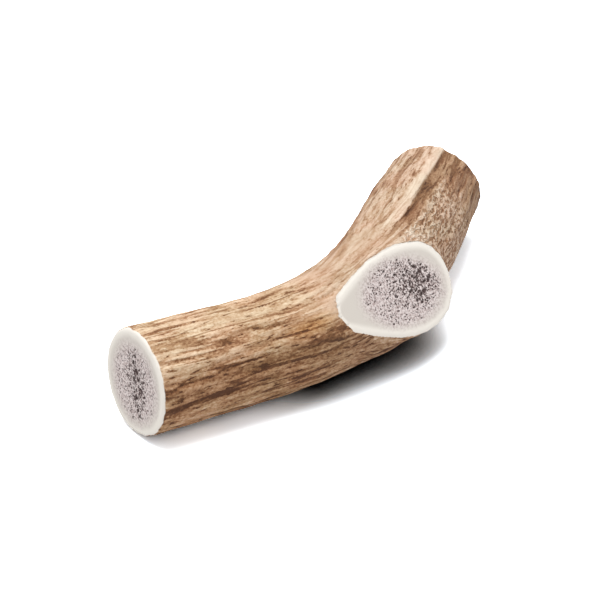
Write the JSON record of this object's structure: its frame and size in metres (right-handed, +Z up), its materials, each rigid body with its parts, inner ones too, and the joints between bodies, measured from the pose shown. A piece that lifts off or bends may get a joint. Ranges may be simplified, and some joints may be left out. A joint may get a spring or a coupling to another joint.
{
  "type": "deer antler section",
  "caption": "Section of deer antler that bends at its middle, sawn across at both ends, with a tine sawn off obliquely at the fork; bark outside, porous core in the cuts.",
  "frame": {"origin": "on the resting surface, under the middle of the bounding box", "axes": "+X from the near saw cut to the far saw cut, +Z up; the tine leaves towards -Y"},
  "size_m": [0.1702, 0.065, 0.037],
  "materials": {
    "antler_bark": "matte antler bark, tan with brown furrows; sawn faces cream bone round a grey porous core"
  },
  "bodies": {
    "root": {"main_beam": "antler_bark", "tine_stub": "antler_bark"}
  },
  "joints": []
}
